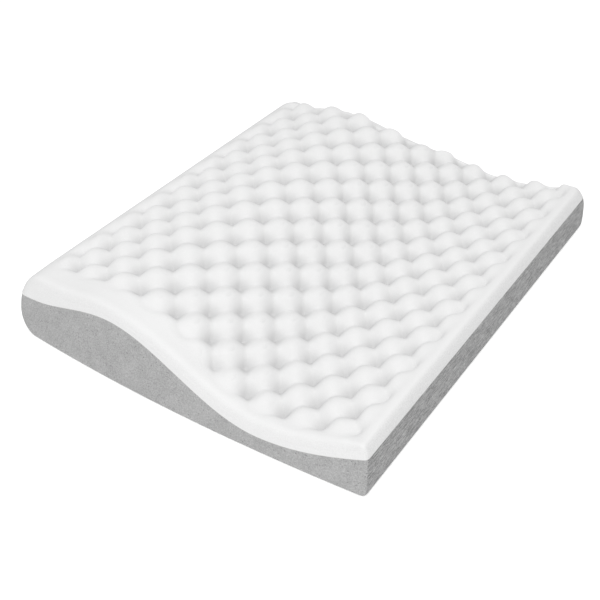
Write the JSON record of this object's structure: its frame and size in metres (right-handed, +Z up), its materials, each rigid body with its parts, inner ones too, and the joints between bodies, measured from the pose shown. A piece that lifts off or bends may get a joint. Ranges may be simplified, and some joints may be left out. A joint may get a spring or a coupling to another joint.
{
  "type": "contour foam bed pillow",
  "caption": "Low contour bed pillow of profiled foam with a bonded egg-crate foam top: a high rounded lobe, a neck hollow and a low lobe.",
  "frame": {"origin": "on the resting face, in the middle of the pillow's footprint", "axes": "+X across the contour from the high rounded lobe to the low lobe, +Y along the pillow, +Z up, the way it lies on a bed"},
  "size_m": [0.4318, 0.5, 0.0839],
  "materials": {
    "base_foam": "grey open-cell polyurethane foam, cut faces with fine pores",
    "adhesive": "thin cured foam adhesive, seen only as a line between the foams",
    "top_foam": "white open-cell polyurethane foam, egg-crate cut, very fine pores"
  },
  "bodies": {
    "root": {"base_foam": "base_foam", "adhesive_film": "adhesive", "egg_crate_top": "top_foam"}
  },
  "joints": []
}
